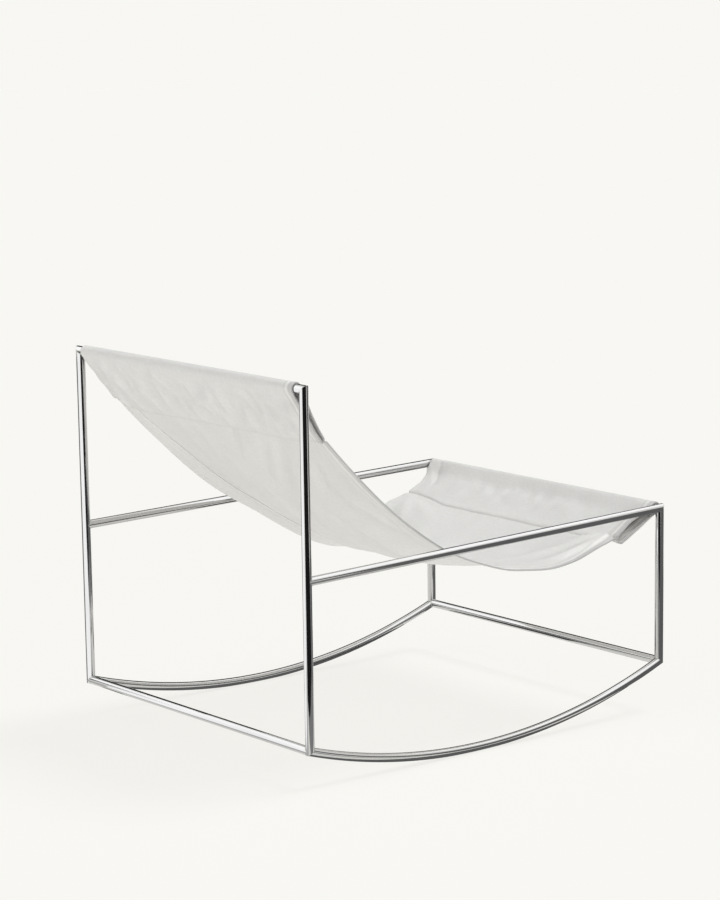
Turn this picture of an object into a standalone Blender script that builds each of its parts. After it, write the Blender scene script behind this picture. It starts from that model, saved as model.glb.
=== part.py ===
"""Rocking chair: a welded frame of polished steel tube with a canvas sling.

Lengths are in metres, +Z is up, the sitter faces -Y and the sitter's left is +X. The chair is drawn
level first, with its origin between the ends of the rockers, and then leans back to its balance.
"""
import math

import bmesh
import bpy
from mathutils import Vector
from mathutils.geometry import interpolate_bezier

# Frame, measured between the axes of the tubes
FRAME_WIDTH = 0.634
FRAME_DEPTH = 0.855
ARM_HEIGHT = 0.293
BACK_HEIGHT = 0.617
ROCKER_DROP = 0.0714

# Tube and welds
TUBE_DIAMETER = 0.016
TUBE_WALL = 0.0015
SIDES_PER_QUARTER = 4
ROCKER_FACET_TURN = math.radians(2.0)
CLEARANCE = 0.0003
WELD_WIDTH = 0.0010
WELD_CROWN = 0.0006

# Sling
CLOTH_THICKNESS = 0.0015
SLEEVE_END_GAP = 0.0115
SLEEVE_OVERHANG = 0.006
SLEEVE_LENGTH = 0.106
BACK_SLEEVE_ANGLE = math.radians(34.0)
BACK_SEAM_ANGLE = math.radians(42.5)
BACK_PULL = 0.551
SEAT_SLEEVE_ANGLE = math.radians(28.0)
SEAT_SEAM_ANGLE = math.radians(5.7)
SEAT_PULL = 0.147
BELLY_SAG = 0.027
FOLD_DEPTH = 0.0035
FOLD_COUNT = 3

# Mesh steps of the sling
PANEL_STEPS = 19
WRAP_STEPS = 6
CLOTH_COLUMNS = 16

# Weights that set the balance at rest, in kg per cubic metre
STEEL_DENSITY = 7850
CLOTH_DENSITY = 300

LEFT = Vector((1, 0, 0))
BACK = Vector((0, 1, 0))
UP = Vector((0, 0, 1))

TUBE_RADIUS = TUBE_DIAMETER / 2
BORE_RADIUS = TUBE_RADIUS - TUBE_WALL
TUBE_SIDES = 4 * SIDES_PER_QUARTER
HALF_SIDE = math.pi / TUBE_SIDES
ROOT_GAP = WELD_WIDTH + 2 * CLEARANCE

HALF_WIDTH = FRAME_WIDTH / 2
HALF_DEPTH = FRAME_DEPTH / 2
ROCKER_RADIUS = (HALF_DEPTH ** 2 + ROCKER_DROP ** 2) / (2 * ROCKER_DROP)
ROCKER_CENTRE = UP * (ROCKER_RADIUS - ROCKER_DROP)
ROCKER_HALF_TURN = math.asin(HALF_DEPTH / ROCKER_RADIUS)

HEEL = BACK * HALF_DEPTH
TOE = -HEEL
BACK_TOP = HEEL + UP * BACK_HEIGHT
ARM_REAR = HEEL + UP * ARM_HEIGHT
SEAT_FRONT = TOE + UP * ARM_HEIGHT

SLEEVE_HALF = HALF_WIDTH - TUBE_RADIUS - SLEEVE_END_GAP
PANEL_HALF = SLEEVE_HALF - SLEEVE_OVERHANG
LAYER_STEP = CLOTH_THICKNESS + CLEARANCE


def rocker_direction(turn):
    """From the rocker's centre of curvature to its tube; a positive turn goes towards the front."""
    return -BACK * math.sin(turn) - UP * math.cos(turn)


def rocker_inward(end):
    """Along the rocker from its heel (end -1) or its toe (end +1) towards its middle."""
    return (BACK * math.cos(ROCKER_HALF_TURN) * end - UP * math.sin(ROCKER_HALF_TURN)).normalized()


def finish(name, colour, roughness, metallic):
    """A plain Principled material."""
    material = bpy.data.materials.new(name)
    material.use_nodes = True
    shader = material.node_tree.nodes["Principled BSDF"]
    shader.inputs["Base Color"].default_value = (*colour, 1.0)
    shader.inputs["Roughness"].default_value = roughness
    shader.inputs["Metallic"].default_value = metallic
    return material


def add_object(name, bm, origin, material, chair):
    """Turn a bmesh, drawn in the chair's frame, into an object with its origin at one of its own points."""
    bmesh.ops.translate(bm, verts=bm.verts, vec=-origin)
    mesh = bpy.data.meshes.new(name)
    bm.to_mesh(mesh)
    bm.free()
    mesh.shade_smooth()
    mesh.set_sharp_from_angle(angle=math.radians(40))
    mesh.materials.append(material)
    piece = bpy.data.objects.new(name, mesh)
    bpy.context.scene.collection.objects.link(piece)
    piece.parent = chair
    piece.location = origin
    return piece


def loft(rings):
    """One closed body: each ring is bridged to the next, and the last to the first."""
    bm = bmesh.new()
    loops = [[bm.verts.new(point) for point in ring] for ring in rings]
    for ring, following in zip(loops, loops[1:] + loops[:1]):
        corners = zip(ring, ring[1:] + ring[:1], following[1:] + following[:1], following)
        for corner in corners:
            bm.faces.new(corner)
    bmesh.ops.recalc_face_normals(bm, faces=bm.faces)
    return bm


def spokes(axis, first):
    """Unit directions round a tube's axis, with a corner of the tube on the first."""
    square = axis.cross(first)
    turns = [2 * HALF_SIDE * side for side in range(TUBE_SIDES)]
    return [first * math.cos(turn) + square * math.sin(turn) for turn in turns]


def flat_first(axis, flat):
    """First corner of a tube that turns the middle of one flat towards the given direction."""
    return flat * math.cos(HALF_SIDE) + axis.cross(flat) * math.sin(HALF_SIDE)


def mitre(inward, other):
    """Setback of a tube from a corner, to the plane that halves it, kept a gap clear of that plane."""
    normal = (inward - other).normalized()
    return lambda radial, gap: (gap - normal.dot(radial)) / normal.dot(inward)


def saddle(inward, runs):
    """Setback of a tube from the corner, or the through tube, on whose round side it lands."""
    def setback(radial, gap):
        run = max(runs, key=lambda direction: direction.dot(radial))
        offset = radial.dot(run.cross(inward))
        return math.sqrt((TUBE_RADIUS + gap) ** 2 - offset ** 2)
    return setback


def cut_ring(centre, inward, directions, radius, cut, gap):
    """The end of a tube, where a cut meets each of its long edges."""
    return [centre + way * radius + inward * cut(way * radius, gap) for way in directions]


def tube(start, end, first, cuts, gaps):
    """A straight length of hollow tube between two cut ends."""
    axis = (end - start).normalized()
    directions = spokes(axis, first)
    ends = [(start, axis, cuts[0], gaps[0]), (end, -axis, cuts[1], gaps[1])]
    outer = [cut_ring(c, i, directions, TUBE_RADIUS, cut, gap) for c, i, cut, gap in ends]
    inner = [cut_ring(c, i, directions, BORE_RADIUS, cut, gap) for c, i, cut, gap in ends]
    return loft([outer[0], outer[1], inner[1], inner[0]])


def mitre_weld(corner, inward, other, first):
    """The slab of weld metal in a mitred corner, ground flush with the tubes."""
    directions = spokes(inward, first)
    normal = (inward - other).normalized() * WELD_WIDTH / 2
    rings = [cut_ring(corner, inward, directions, radius, mitre(inward, other), 0)
             for radius in (TUBE_RADIUS, BORE_RADIUS)]
    outer, inner = rings
    return loft([[p + normal for p in outer], [p - normal for p in outer],
                 [p - normal for p in inner], [p + normal for p in inner]])


def saddle_weld(corner, inward, runs, first):
    """The bead that joins a tube to the round side of another, fullest in the crook of the joint."""
    directions = spokes(inward, first)
    cut = saddle(inward, runs)

    def ring(radius, crown, gap):
        points = []
        for way in directions:
            fullness = (cut(way * TUBE_RADIUS, 0) / TUBE_RADIUS) ** 2
            radial = way * (radius + crown * fullness)
            points.append(corner + radial + inward * cut(radial, gap))
        return points

    near, far = CLEARANCE, CLEARANCE + WELD_WIDTH
    return loft([ring(TUBE_RADIUS, WELD_CROWN, near), ring(TUBE_RADIUS, WELD_CROWN, far),
                 ring(BORE_RADIUS, 0, far), ring(BORE_RADIUS, 0, near)])


def rocker(side, contact_turn):
    """A tube bent to an arc, mitred at both ends, with one flat facet centred on the contact point."""
    across = LEFT * side
    normals = [(rocker_inward(end) - UP).normalized() for end in (-1, 1)]
    corners = [HEEL, TOE]
    gap = ROOT_GAP / 2

    def end_turn(index, bend_radius):
        normal = normals[index]
        swing = math.acos((gap + normal.dot(corners[index] - ROCKER_CENTRE)) / bend_radius)
        facing = math.atan2(-normal.dot(BACK), -normal.dot(UP))
        near_turn = ROCKER_HALF_TURN * (-1, 1)[index]
        return min(facing - swing, facing + swing, key=lambda turn: abs(turn - near_turn))

    reach = ROCKER_HALF_TURN - ROCKER_FACET_TURN
    first_step = math.ceil((-reach - contact_turn) / ROCKER_FACET_TURN - 0.5)
    last_step = math.floor((reach - contact_turn) / ROCKER_FACET_TURN - 0.5)
    middle_turns = [contact_turn + (step + 0.5) * ROCKER_FACET_TURN for step in range(first_step, last_step + 1)]

    def rings(radius):
        staves = []
        for side_number in range(TUBE_SIDES):
            angle = (2 * side_number + 1) * HALF_SIDE
            bend_radius = ROCKER_RADIUS + radius * math.cos(angle)
            turns = [end_turn(0, bend_radius), *middle_turns, end_turn(1, bend_radius)]
            aside = across * HALF_WIDTH + LEFT * radius * math.sin(angle)
            staves.append([ROCKER_CENTRE + aside + rocker_direction(turn) * bend_radius for turn in turns])
        return [list(ring) for ring in zip(*staves)]

    return loft(rings(TUBE_RADIUS) + rings(BORE_RADIUS)[::-1])


def side_frame(side, label, steel, weld, chair, contact_turn):
    """Two uprights, an arm rail and a rocker, with the welds between them."""
    aside = LEFT * side * HALF_WIDTH
    heel, toe, back_top, arm_rear, seat_front = (
        point + aside for point in (HEEL, TOE, BACK_TOP, ARM_REAR, SEAT_FRONT))
    heel_rise, toe_rise = rocker_inward(-1), rocker_inward(1)
    corner_gap = ROOT_GAP / 2
    inboard = -LEFT * side

    bm = tube(heel, back_top, flat_first(UP, LEFT),
              (mitre(UP, heel_rise), mitre(-UP, inboard)), (corner_gap, corner_gap))
    add_object(f"{label}_rear_upright", bm, heel, steel, chair)
    bm = tube(toe, seat_front, flat_first(UP, LEFT),
              (mitre(UP, toe_rise), mitre(-UP, BACK)), (corner_gap, corner_gap))
    add_object(f"{label}_front_upright", bm, toe, steel, chair)
    bm = tube(arm_rear, seat_front, flat_first(-BACK, LEFT),
              (saddle(-BACK, [UP]), mitre(BACK, -UP)), (ROOT_GAP, corner_gap))
    add_object(f"{label}_arm_rail", bm, arm_rear, steel, chair)
    add_object(f"{label}_rocker", rocker(side, contact_turn), aside - UP * ROCKER_DROP, steel, chair)

    welds = [
        ("heel_weld", heel, mitre_weld(heel, UP, heel_rise, flat_first(UP, LEFT))),
        ("toe_weld", toe, mitre_weld(toe, UP, toe_rise, flat_first(UP, LEFT))),
        ("front_corner_weld", seat_front, mitre_weld(seat_front, -UP, BACK, flat_first(-UP, LEFT))),
        ("back_corner_weld", back_top, mitre_weld(back_top, -UP, inboard, flat_first(-UP, LEFT))),
        ("arm_weld", arm_rear, saddle_weld(arm_rear, -BACK, [UP], flat_first(-BACK, LEFT))),
    ]
    for name, corner, bead in welds:
        add_object(f"{label}_{name}", bead, corner, weld, chair)


def crossbar(name, centre, runs, steel, weld, chair):
    """A bar between the side frames, landing on the round side of a corner at each end, and its beads."""
    first = -(runs[0] + runs[1]).normalized()
    ends = [centre + LEFT * HALF_WIDTH, centre - LEFT * HALF_WIDTH]
    cuts = (saddle(-LEFT, runs), saddle(LEFT, runs))
    add_object(name, tube(ends[0], ends[1], first, cuts, (ROOT_GAP, ROOT_GAP)), centre, steel, chair)
    for label, corner, inward in (("left", ends[0], -LEFT), ("right", ends[1], LEFT)):
        add_object(f"{label}_{name}_weld", saddle_weld(corner, inward, runs, first), corner, weld, chair)


def back_bar(steel, chair):
    """The bar across the top of the back, mitred into both rear uprights."""
    ends = [BACK_TOP + LEFT * HALF_WIDTH, BACK_TOP - LEFT * HALF_WIDTH]
    cuts = (mitre(-LEFT, -UP), mitre(LEFT, -UP))
    bm = tube(ends[0], ends[1], flat_first(-LEFT, UP), cuts, (ROOT_GAP / 2, ROOT_GAP / 2))
    add_object("back_bar", bm, BACK_TOP, steel, chair)


def sleeve(bar, seam, under):
    """The cloth round a bar: from the sewn end of the flap, over the bar, to the seam on the seat side."""
    half_step = math.pi / (2 * WRAP_STEPS)
    wrap_radius = (TUBE_RADIUS + CLEARANCE + CLOTH_THICKNESS / 2) / math.cos(half_step)
    flap_end = seam + under * LAYER_STEP

    def tangent_angle(outside, side):
        away = outside - bar
        swing = math.acos(wrap_radius / away.length)
        return math.atan2(away.z, away.y) + side * swing

    side = 1 if under.y > 0 else -1
    start = tangent_angle(flap_end, side)
    end = tangent_angle(seam, -side)
    sweep = (end - start) * side % (2 * math.pi) * side
    angles = [start + sweep * step / WRAP_STEPS for step in range(WRAP_STEPS + 1)]
    wrap = [bar + (BACK * math.cos(a) + UP * math.sin(a)) * wrap_radius for a in angles]
    return [flap_end, *wrap]


def sling_path():
    """The cloth's middle line from flap to flap, as points with their half width and share of the panel."""
    down_back = -BACK * math.sin(BACK_SLEEVE_ANGLE) - UP * math.cos(BACK_SLEEVE_ANGLE)
    down_seat = BACK * math.cos(SEAT_SLEEVE_ANGLE) - UP * math.sin(SEAT_SLEEVE_ANGLE)
    back_seam = BACK_TOP + down_back * SLEEVE_LENGTH
    seat_seam = SEAT_FRONT + down_seat * SLEEVE_LENGTH
    back_pull = -BACK * math.sin(BACK_SEAM_ANGLE) - UP * math.cos(BACK_SEAM_ANGLE)
    seat_pull = BACK * math.cos(SEAT_SEAM_ANGLE) - UP * math.sin(SEAT_SEAM_ANGLE)
    panel = interpolate_bezier(back_seam, back_seam + back_pull * BACK_PULL,
                               seat_seam + seat_pull * SEAT_PULL, seat_seam, PANEL_STEPS + 1)
    under_back = LEFT.cross(down_back)
    under_seat = down_seat.cross(LEFT)
    lengths = [0.0]
    for before, after in zip(panel, panel[1:]):
        lengths.append(lengths[-1] + (after - before).length)
    path = [(point, SLEEVE_HALF, 0.0) for point in sleeve(BACK_TOP, back_seam, under_back)]
    path += [(point, PANEL_HALF, run / lengths[-1]) for point, run in zip(panel, lengths)]
    path += [(point, SLEEVE_HALF, 0.0) for point in reversed(sleeve(SEAT_FRONT, seat_seam, under_seat))]
    return path


def sling(path, canvas, chair):
    """One folded sheet: it sags across its width between the seams, and hangs in soft folds down the back."""
    bm = bmesh.new()
    rows = []
    for point, half, share in path:
        sag = BELLY_SAG * math.sin(math.pi * share)
        fold = FOLD_DEPTH * math.sin(math.pi * share) * (1 - share)
        row = []
        for column in range(CLOTH_COLUMNS + 1):
            across = 2 * column / CLOTH_COLUMNS - 1
            lift = fold * math.cos(math.pi * FOLD_COUNT * across) - sag * (1 - across ** 2)
            row.append(bm.verts.new(point + LEFT * half * across + UP * lift))
        rows.append(row)
    for row, following in zip(rows, rows[1:]):
        for corner in zip(row, row[1:], following[1:], following):
            bm.faces.new(corner)
    bmesh.ops.recalc_face_normals(bm, faces=bm.faces)
    piece = add_object("sling", bm, BACK_TOP, canvas, chair)
    thickness = piece.modifiers.new("cloth thickness", "SOLIDIFY")
    thickness.thickness = CLOTH_THICKNESS
    thickness.offset = 0
    thickness.use_even_offset = True


def rest_lean(path):
    """How far the chair leans back at rest, with its weight straight above the point of contact."""
    tube_weight = STEEL_DENSITY * math.pi * (TUBE_RADIUS ** 2 - BORE_RADIUS ** 2)
    arc_middle = ROCKER_CENTRE - UP * ROCKER_RADIUS * math.sin(ROCKER_HALF_TURN) / ROCKER_HALF_TURN
    runs = [
        (2 * BACK_HEIGHT, (HEEL + BACK_TOP) / 2),
        (2 * ARM_HEIGHT, (TOE + SEAT_FRONT) / 2),
        (2 * FRAME_DEPTH, (ARM_REAR + SEAT_FRONT) / 2),
        (4 * ROCKER_RADIUS * ROCKER_HALF_TURN, arc_middle),
    ]
    runs += [(FRAME_WIDTH, point) for point in (HEEL, TOE, BACK_TOP, SEAT_FRONT)]
    weights = [(length * tube_weight, point) for length, point in runs]
    for (point, half, _), (following, _, _) in zip(path, path[1:]):
        area = (following - point).length * 2 * half
        weights.append((area * CLOTH_THICKNESS * CLOTH_DENSITY, (point + following) / 2))
    total = sum(weight for weight, _ in weights)
    middle = sum((point * weight for weight, point in weights), Vector()) / total
    return math.atan2(middle.y, ROCKER_CENTRE.z - middle.z)


def stand_on_floor(chair, lean):
    """Lean the chair back and put the middle of its footprint on the origin."""
    chair.rotation_euler.x = -lean
    bpy.context.view_layer.update()
    corners = [piece.matrix_world @ vertex.co for piece in chair.children for vertex in piece.data.vertices]
    front = min(corner.y for corner in corners)
    rear = max(corner.y for corner in corners)
    chair.location = (0, -(front + rear) / 2, -min(corner.z for corner in corners))


def main():
    for old in list(bpy.data.objects):
        bpy.data.objects.remove(old, do_unlink=True)
    steel = finish("polished_steel", (0.62, 0.62, 0.61), 0.12, 1.0)
    weld = finish("ground_weld", (0.58, 0.58, 0.57), 0.22, 1.0)
    canvas = finish("off_white_canvas", (0.72, 0.72, 0.70), 0.9, 0.0)
    chair = bpy.data.objects.new("chair", None)
    bpy.context.scene.collection.objects.link(chair)

    path = sling_path()
    lean = rest_lean(path)
    for side, label in ((1, "left"), (-1, "right")):
        side_frame(side, label, steel, weld, chair, -lean)
    back_bar(steel, chair)
    crossbar("seat_bar", SEAT_FRONT, [-UP, BACK], steel, weld, chair)
    crossbar("rear_floor_bar", HEEL, [UP, rocker_inward(-1)], steel, weld, chair)
    crossbar("front_floor_bar", TOE, [UP, rocker_inward(1)], steel, weld, chair)
    sling(path, canvas, chair)
    stand_on_floor(chair, lean)
    print(f"leans back {math.degrees(lean):.2f} degrees at rest")


main()
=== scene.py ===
# %% [markdown]
# # A rocking chair of polished steel tube with a canvas sling
#
# The chair is a welded frame of slim round tube on two curved rockers. One piece of heavy canvas hangs
# between the bar at the top of the back and the bar at the front of the seat. This lesson dresses the
# plain frame: it makes round tubes, ground welds, a hemmed and folded sling, and its sewing thread.

# %% Load the frame
import math

import bpy
import numpy as np
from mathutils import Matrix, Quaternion, Vector, noise
from mathutils.geometry import interpolate_bezier


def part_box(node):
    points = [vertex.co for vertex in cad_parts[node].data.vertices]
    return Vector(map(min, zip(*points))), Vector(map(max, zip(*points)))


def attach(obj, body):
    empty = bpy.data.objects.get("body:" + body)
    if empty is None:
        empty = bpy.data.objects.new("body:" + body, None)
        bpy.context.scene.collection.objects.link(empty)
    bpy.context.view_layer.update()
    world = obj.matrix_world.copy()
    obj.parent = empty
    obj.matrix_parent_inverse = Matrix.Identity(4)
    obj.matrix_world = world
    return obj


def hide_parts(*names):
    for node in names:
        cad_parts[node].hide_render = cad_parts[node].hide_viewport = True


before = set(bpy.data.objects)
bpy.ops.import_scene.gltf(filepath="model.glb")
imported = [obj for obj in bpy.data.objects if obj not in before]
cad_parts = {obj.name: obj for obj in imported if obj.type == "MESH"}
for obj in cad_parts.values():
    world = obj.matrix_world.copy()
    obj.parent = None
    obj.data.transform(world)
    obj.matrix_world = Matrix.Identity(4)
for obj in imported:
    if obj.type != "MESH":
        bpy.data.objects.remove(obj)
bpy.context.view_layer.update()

# %% [markdown]
# ## The camera
#
# The picture was taken from behind the chair, on its right, with a long lens from about five metres. A
# long lens keeps the uprights nearly parallel. The camera could be placed by eye, but here its place is
# written as a photographer would say it: what it aims at, from which side, how high and how far. The
# small roll is the camera not being quite level.

# %% Place the camera
AIM = Vector((0.0363, 0.0061, 0.4930))
CAMERA_DISTANCE = 5.051
CAMERA_AZIMUTH = 229.02
CAMERA_ELEVATION = 9.304
CAMERA_ROLL = 0.662
LENS_MM = 109.18


def direction(azimuth, elevation):
    """A unit vector out from the chair; azimuth 0 is its front and 90 its left, in degrees."""
    a, e = math.radians(azimuth), math.radians(elevation)
    return Vector((math.sin(a) * math.cos(e), -math.cos(a) * math.cos(e), math.sin(e)))


out_to_camera = direction(CAMERA_AZIMUTH, CAMERA_ELEVATION)
camera = bpy.data.objects.new("camera", bpy.data.cameras.new("camera"))
bpy.context.scene.collection.objects.link(camera)
camera.data.lens = LENS_MM
camera.location = AIM + out_to_camera * CAMERA_DISTANCE
level_turn = (-out_to_camera).to_track_quat("-Z", "Y")
camera.rotation_mode = "QUATERNION"
camera.rotation_quaternion = level_turn @ Quaternion((0, 0, 1), math.radians(CAMERA_ROLL))
bpy.context.scene.camera = camera
print(f"camera at {camera.location}")

# %% [markdown]
# ## Small helpers for node trees
#
# Materials and Geometry Nodes are both trees of nodes. One helper adds a node, sets its options and joins
# its inputs, so that a tree reads from top to bottom like a recipe. The others are for the nodes that a
# recipe needs again and again: sums, noise, distances, and a value mapped from one range to another.

# %% Helpers that add nodes
def add(tree, kind, inputs=(), **options):
    """Add a node; an input is given as (name or number, value or socket)."""
    made = tree.nodes.new(kind)
    for name, value in options.items():
        setattr(made, name, value)
    for key, value in inputs:
        if isinstance(value, bpy.types.NodeSocket):
            tree.links.new(value, made.inputs[key])
        else:
            made.inputs[key].default_value = value
    return made


def sum_of(tree, *values, operation="ADD"):
    """Chain of Math nodes over two or more values."""
    total = values[0]
    for value in values[1:]:
        total = add(tree, "ShaderNodeMath", [(0, total), (1, value)], operation=operation).outputs[0]
    return total


def product(tree, *values):
    return sum_of(tree, *values, operation="MULTIPLY")


def cloudy(tree, place, scale, detail):
    """Noise over a place, with its own scale along each axis."""
    spread = add(tree, "ShaderNodeMapping", [("Vector", place), ("Scale", scale)]).outputs[0]
    inputs = [("Vector", spread), ("Scale", 1.0), ("Detail", detail)]
    return add(tree, "ShaderNodeTexNoise", inputs).outputs[0]


def mapped(tree, value, low, high, new_low, new_high):
    return add(tree, "ShaderNodeMapRange", [("Value", value), ("From Min", low), ("From Max", high),
                                            ("To Min", new_low), ("To Max", new_high)]).outputs[0]


def distance_from(tree, value, place):
    """How far a value lies from a place, on either side of it."""
    offset = sum_of(tree, value, place, operation="SUBTRACT")
    return add(tree, "ShaderNodeMath", [(0, offset)], operation="ABSOLUTE").outputs[0]


# %% [markdown]
# ## Floor, backdrop and light
#
# The chair stands on a plain pale sweep with only a faint shadow. A floor lit up to white would flood the
# chair with light, so the floor and the sky show their pale colour to the camera and to mirrors, and keep
# plain light for everything else. A small share of the floor's look is still real light, which keeps the
# shadow, and its glow makes up just what that light lacks to the tone of the sky.
#
# The light is soft but not the same all round, so that folds show. The sky is brighter on the right. A key
# from the front and above throws the faint shadow backwards, a low fill rakes across the back from the
# right, and a weak light comes from behind and above. These three are suns, which light the whole floor
# alike. Mirrors don't show them, because the steel gets its highlights from cards.

# %% Pale floor and backdrop
BACKDROP = np.array((0.939, 0.930, 0.896))
AMBIENT = 0.51
BRIGHT_SIDE = direction(265, 0)
SIDE_CONTRAST = 0.55
SUNS = {"key": dict(azimuth=-12, elevation=66, strength=1.33, width=22),
        "fill": dict(azimuth=262, elevation=6, strength=1.25, width=24),
        "back": dict(azimuth=170, elevation=50, strength=0.38, width=60)}
FLOOR_SIZE = 60.0
FLOOR_DROP = 0.0004
FLOOR_SHADE = 0.90
SHADOW_SHARE = 0.17
BOUNCE_GLOW = 0.70
BOUNCE_STRENGTH = 1.16

scene = bpy.context.scene
scene.view_settings.view_transform = "Standard"
suns_on_floor = [sun["strength"] * math.sin(math.radians(sun["elevation"])) for sun in SUNS.values()]
floor_lit = FLOOR_SHADE * (AMBIENT + sum(suns_on_floor) / math.pi)
floor_glow = (BACKDROP - SHADOW_SHARE * floor_lit) / (1 - SHADOW_SHARE)


def seen_directly(tree):
    """1 for what the camera, a mirror or a glass shows, and 0 for light that bounces."""
    path = add(tree, "ShaderNodeLightPath")
    rays = [path.outputs[name] for name in ("Is Camera Ray", "Is Glossy Ray", "Is Transmission Ray")]
    return sum_of(tree, *rays, operation="MAXIMUM")


world = bpy.data.worlds.new("studio")
world.use_nodes = True
scene.world = world
sky = world.node_tree
sky.nodes.clear()
outwards = add(sky, "ShaderNodeTexCoord").outputs["Generated"]
side = add(sky, "ShaderNodeVectorMath", [(0, outwards), (1, BRIGHT_SIDE * SIDE_CONTRAST * AMBIENT)],
           operation="DOT_PRODUCT").outputs["Value"]
soft_light = add(sky, "ShaderNodeBackground", [("Color", (1, 1, 1, 1)),
                                               ("Strength", sum_of(sky, side, AMBIENT))])
paper = add(sky, "ShaderNodeBackground", [("Color", (*BACKDROP, 1)), ("Strength", 1.0)])
sky_mix = add(sky, "ShaderNodeMixShader", [(0, seen_directly(sky)), (1, soft_light.outputs[0]),
                                           (2, paper.outputs[0])])
add(sky, "ShaderNodeOutputWorld", [("Surface", sky_mix.outputs[0])])

sweep = bpy.data.materials.new("pale_sweep")
sweep.use_nodes = True
tree = sweep.node_tree
tree.nodes.clear()
lit = add(tree, "ShaderNodeBsdfDiffuse", [("Color", (FLOOR_SHADE, FLOOR_SHADE, FLOOR_SHADE, 1))])
seen = seen_directly(tree)
strength = mapped(tree, seen, 0.0, 1.0, BOUNCE_STRENGTH, 1.0)
glow = add(tree, "ShaderNodeEmission", [("Color", (*floor_glow, 1)), ("Strength", strength)])
share = mapped(tree, seen, 0.0, 1.0, BOUNCE_GLOW, 1 - SHADOW_SHARE)
floor_mix = add(tree, "ShaderNodeMixShader", [(0, share), (1, lit.outputs[0]), (2, glow.outputs[0])])
add(tree, "ShaderNodeOutputMaterial", [("Surface", floor_mix.outputs[0])])


def mesh_object(name, points, faces, material):
    """A mesh object at the origin, with its place in its mesh."""
    mesh = bpy.data.meshes.new(name)
    mesh.from_pydata([tuple(p) for p in points], [], faces)
    mesh.materials.append(material)
    piece = bpy.data.objects.new(name, mesh)
    scene.collection.objects.link(piece)
    return piece


half_floor = FLOOR_SIZE / 2
floor_corners = [(x * half_floor, y * half_floor, -FLOOR_DROP)
                 for x, y in ((-1, -1), (1, -1), (1, 1), (-1, 1))]
mesh_object("floor", floor_corners, [(0, 1, 2, 3)], sweep)
print(f"floor {FLOOR_SIZE} m square, lit to {floor_lit:.3f}")


# %% Key, fill and back light
def soft_sun(name, azimuth, elevation, strength, width):
    """A distant light as wide as a soft box, shining from a compass direction."""
    light = bpy.data.lights.new(name, "SUN")
    light.energy = strength
    light.angle = math.radians(width)
    lamp = bpy.data.objects.new(name, light)
    scene.collection.objects.link(lamp)
    lamp.rotation_mode = "QUATERNION"
    lamp.rotation_quaternion = direction(azimuth, elevation).to_track_quat("Z", "Y")
    lamp.visible_glossy = False


for name, sun in SUNS.items():
    soft_sun(name, **sun)
print(len(SUNS), "suns")

# %% [markdown]
# Polished steel has no colour of its own to show: it shows the room. In an all-white room it would look
# like white plastic, so a photographer stands cards round it, just out of the picture, and each tube draws
# them as thin lines: black ones beside the camera and on its right, bright ones to its left and high in
# front, greys further round, and a wide dark one far away on the left, which draws the dark line on top of
# every tube. Sheets on the floor do the rest; three dark ones, under the seat and along each rocker, are
# painted shadow, where the chair shades the floor. The cards are seen only in reflections.

# %% Cards for the steel to mirror
CARD_FOOT, BLACK_CARD_FOOT = (0.62, 0.004), (1.00, 0.004)
CARD_TOP = (2.60, 1.05)
BLACK_TONE = 0.012
GROUND_LIFT = 0.002
# Cards laid on the floor: name, from and to across, from and to along, and tone.
GROUND_CARDS = [
    ("right_ground", -1.80, -0.50, -1.70, 1.10, 0.28),
    ("front_ground", -0.37, 1.20, -1.70, -0.52, 0.16),
    ("rear_ground", -0.37, 0.60, 0.47, 1.10, 0.60),
    # The last three are painted shadow: dark sheets where the seat and the rockers shade the floor.
    ("seat_shadow_sheet", 0.00, 0.29, -0.41, -0.12, 0.08),
    ("right_rocker_shadow_sheet", -0.350, -0.285, -0.43, 0.43, 0.15),
    ("left_rocker_shadow_sheet", 0.285, 0.350, -0.43, 0.43, 0.15),
]
# Each standing card: name, first and last azimuth, foot and top as (distance, height), and tone.
CARDS = [
    ("camera_card", 205, 252, BLACK_CARD_FOOT, CARD_TOP, BLACK_TONE),
    ("right_card", 252, 276, BLACK_CARD_FOOT, CARD_TOP, BLACK_TONE),
    ("front_card", 285, 345, CARD_FOOT, CARD_TOP, 0.15),
    ("left_card", 15, 84, (5.0, 0.004), (5.0, 4.00), 0.03),
    ("rear_card", 104, 138, CARD_FOOT, (1.6, 0.50), 0.20),
    ("rear_light", 88, 138, (5.0, 1.00), (5.0, 4.60), 1.50),
    ("bright_card", 143, 200, CARD_FOOT, CARD_TOP, 1.40),
    ("top_card", 305, 385, (3.0, 2.00), (1.6, 2.80), 1.50),
]


def mirror_card(name, points, tone):
    """A flat card of one tone that only reflections see."""
    paint = bpy.data.materials.new(name)
    paint.use_nodes = True
    paint.node_tree.nodes.clear()
    shine = add(paint.node_tree, "ShaderNodeEmission", [("Color", (1, 1, 1, 1)), ("Strength", tone)])
    add(paint.node_tree, "ShaderNodeOutputMaterial", [("Surface", shine.outputs[0])])
    piece = mesh_object(name, points, [tuple(range(len(points)))], paint)
    for ray in ("camera", "diffuse", "shadow", "transmission"):
        setattr(piece, f"visible_{ray}", False)


def compass(azimuth, distance, height):
    """A point in a compass direction from the chair's middle."""
    return direction(azimuth, 0) * distance + Vector((0, 0, height))


for name, first, last, foot, top, tone in CARDS:
    ends = ((first, foot), (last, foot), (last, top), (first, top))
    mirror_card(name, [compass(azimuth, *place) for azimuth, place in ends], tone)
for name, x0, x1, y0, y1, tone in GROUND_CARDS:
    mirror_card(name, [(x, y, GROUND_LIFT) for x, y in ((x0, y0), (x1, y0), (x1, y1), (x0, y1))], tone)
print(len(CARDS) + len(GROUND_CARDS), "cards")

# %% [markdown]
# ## The lines of the frame
#
# Every tube is drawn from the corners of the frame, and the corners are read from the bars of the plain
# model: the middle of a bar's box lies on its axis. At rest the chair leans back a little, so up and back
# along the chair are not quite up and back in the room.

# %% Corners of the frame
TUBE_RADIUS = 0.008
ROCKER_DROP = 0.0714
LEFT = Vector((1, 0, 0))


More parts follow.
